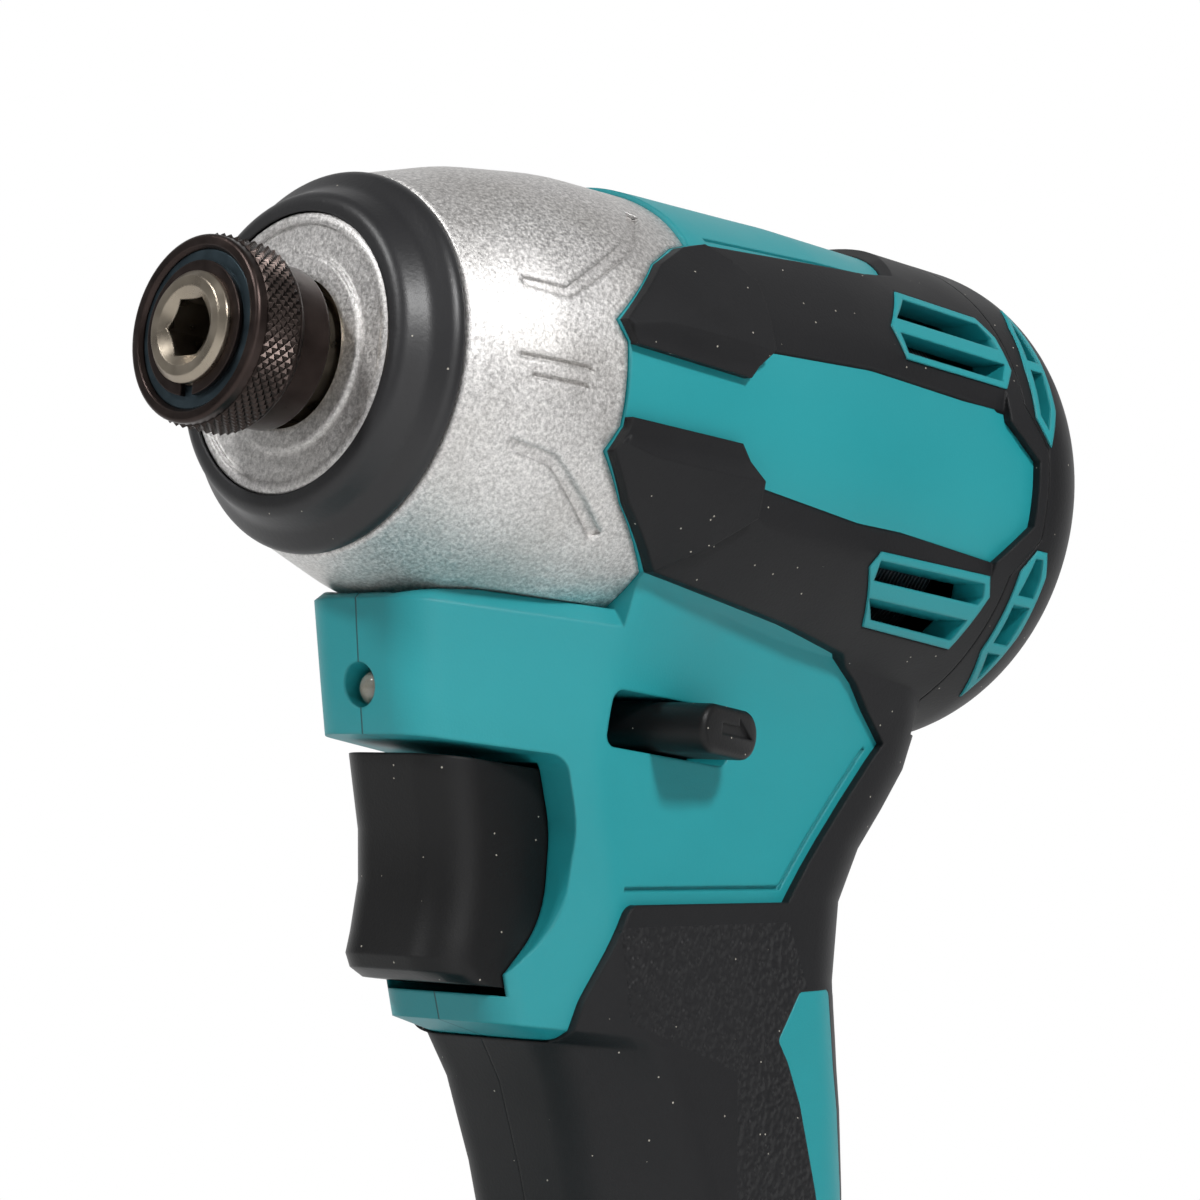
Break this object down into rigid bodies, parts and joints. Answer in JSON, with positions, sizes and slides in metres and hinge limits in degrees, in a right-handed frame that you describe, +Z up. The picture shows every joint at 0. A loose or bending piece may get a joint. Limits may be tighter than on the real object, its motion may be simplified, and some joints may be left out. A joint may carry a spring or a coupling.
{
  "type": "impact driver",
  "caption": "Cordless impact driver with hex bit holder, sprung sleeve, hammer case, gear train, motor, trigger, reversing lever, belt hook and slide-on battery.",
  "frame": {"origin": "centre of the anvil's front face, at the mouth of the hex bit socket, on the spindle axis", "axes": "+X along the spindle axis, out of the bit holder; +Y to the tool's left; +Z up, from the battery to the motor housing"},
  "size_m": [0.13, 0.088, 0.2379],
  "materials": {
    "bearing_steel": "polished",
    "black_nylon": "moulded nylon",
    "black_oxide_steel": "black oxide",
    "black_rubber": "satin elastomer",
    "blade_copper": "stamped",
    "blued_steel": "blued",
    "bronze": "sintered",
    "cast_aluminium": "cast and tumbled",
    "cell_wrap": "heat-shrunk sleeve",
    "clear_lens": "clear",
    "copper_wire": "enamelled wire",
    "hardened_steel": "ground",
    "lamination_steel": "stacked sheet",
    "red_nylon": "moulded nylon",
    "spring_steel": "drawn wire",
    "teal_plastic": "satin moulded plastic"
  },
  "bodies": {
    "tool": {"anvil_bush": "bronze", "belt_hook": "spring_steel", "controller": "black_nylon", "cover_screws": "black_oxide_steel", "front_bumper": "black_rubber", "front_motor_bearing": "bearing_steel", "gear_cover": "cast_aluminium", "grip_rubber_left": "black_rubber", "grip_rubber_right": "black_rubber", "hammer_case": "cast_aluminium", "hook_screw": "black_oxide_steel", "housing_left": "teal_plastic", "housing_right": "teal_plastic", "housing_screws": "black_oxide_steel", "led": "clear_lens", "rear_cover": "teal_plastic", "rear_motor_bearing": "bearing_steel", "rear_rubber": "black_rubber", "ring_gear": "hardened_steel", "spindle_bearing": "bearing_steel", "stator_core": "lamination_steel", "switch_body": "black_nylon", "terminal_blades": "blade_copper", "terminal_block": "black_nylon", "windings": "copper_wire"},
    "output": {"anvil": "hardened_steel", "retaining_ring": "black_oxide_steel", "sleeve_washer": "blued_steel", "detent_balls": "hardened_steel"},
    "sleeve": {"bit_sleeve": "black_oxide_steel", "sleeve_spring": "spring_steel"},
    "spindle": {"spindle": "hardened_steel", "planet_pins": "hardened_steel", "cam_balls": "hardened_steel", "hammer_spring": "spring_steel", "spring_washer": "blued_steel"},
    "hammer": {"hammer": "hardened_steel"},
    "planet_1": {"planet_gear_1": "hardened_steel"},
    "planet_2": {"planet_gear_2": "hardened_steel"},
    "planet_3": {"planet_gear_3": "hardened_steel"},
    "rotor": {"rotor_shaft": "hardened_steel", "rotor_core": "lamination_steel", "fan": "black_nylon"},
    "trigger": {"trigger": "black_nylon"},
    "lever": {"reversing_lever": "black_nylon"},
    "battery": {"battery_cover": "black_nylon", "battery_case": "black_nylon", "battery_cells": "cell_wrap"},
    "button": {"release_button": "red_nylon"}
  },
  "joints": [
    {"name": "spindle_spin", "type": "hinge", "parent": "tool", "child": "spindle", "pos_m": [-0.05, 0, 0], "axis": [1, 0, 0], "continuous": true},
    {"name": "anvil_spin", "type": "hinge", "parent": "tool", "child": "output", "pos_m": [-0.02, 0, 0], "axis": [1, 0, 0], "continuous": true},
    {"name": "rotor_spin", "type": "hinge", "parent": "tool", "child": "rotor", "pos_m": [-0.095, 0, 0], "axis": [1, 0, 0], "continuous": true},
    {"name": "hammer_slide", "type": "slide", "parent": "spindle", "child": "hammer", "axis": [-1, 0, 0], "range_m": [0, 0.008], "stiffness_N_per_m": 3000, "springref_m": -0.002, "deforming": ["hammer_spring"]},
    {"name": "sleeve_slide", "type": "slide", "parent": "output", "child": "sleeve", "axis": [1, 0, 0], "range_m": [0, 0.004], "stiffness_N_per_m": 600, "springref_m": -0.002, "deforming": ["sleeve_spring"]},
    {"name": "planet_1_spin", "type": "hinge", "parent": "spindle", "child": "planet_1", "pos_m": [-0.065, 0, 0.0108], "axis": [1, 0, 0], "continuous": true},
    {"name": "planet_2_spin", "type": "hinge", "parent": "spindle", "child": "planet_2", "pos_m": [-0.065, -0.00935, -0.0054], "axis": [1, 0, 0], "continuous": true},
    {"name": "planet_3_spin", "type": "hinge", "parent": "spindle", "child": "planet_3", "pos_m": [-0.065, 0.00935, -0.0054], "axis": [1, 0, 0], "continuous": true},
    {"name": "trigger_pull", "type": "slide", "parent": "tool", "child": "trigger", "axis": [-1, 0, 0], "range_m": [0, 0.007], "stiffness_N_per_m": 900, "springref_m": -0.003},
    {"name": "lever_turn", "type": "hinge", "parent": "tool", "child": "lever", "pos_m": [-0.09, 0, -0.0366], "axis": [0, 0, 1], "range_deg": [-20, 0]},
    {"name": "battery_slide", "type": "slide", "parent": "tool", "child": "battery", "axis": [1, 0, 0], "range_m": [0, 0.09]},
    {"name": "button_press", "type": "slide", "parent": "battery", "child": "button", "axis": [0, 0, -1], "range_m": [0, 0.0035], "stiffness_N_per_m": 800, "springref_m": -0.002}
  ],
  "couplings": [
    {"joint": "anvil_spin", "follows": "spindle_spin", "ratio": 1},
    {"joint": "rotor_spin", "follows": "spindle_spin", "ratio": 6},
    {"joint": "planet_1_spin", "follows": "spindle_spin", "ratio": -2.5},
    {"joint": "planet_2_spin", "follows": "spindle_spin", "ratio": -2.5},
    {"joint": "planet_3_spin", "follows": "spindle_spin", "ratio": -2.5}
  ]
}
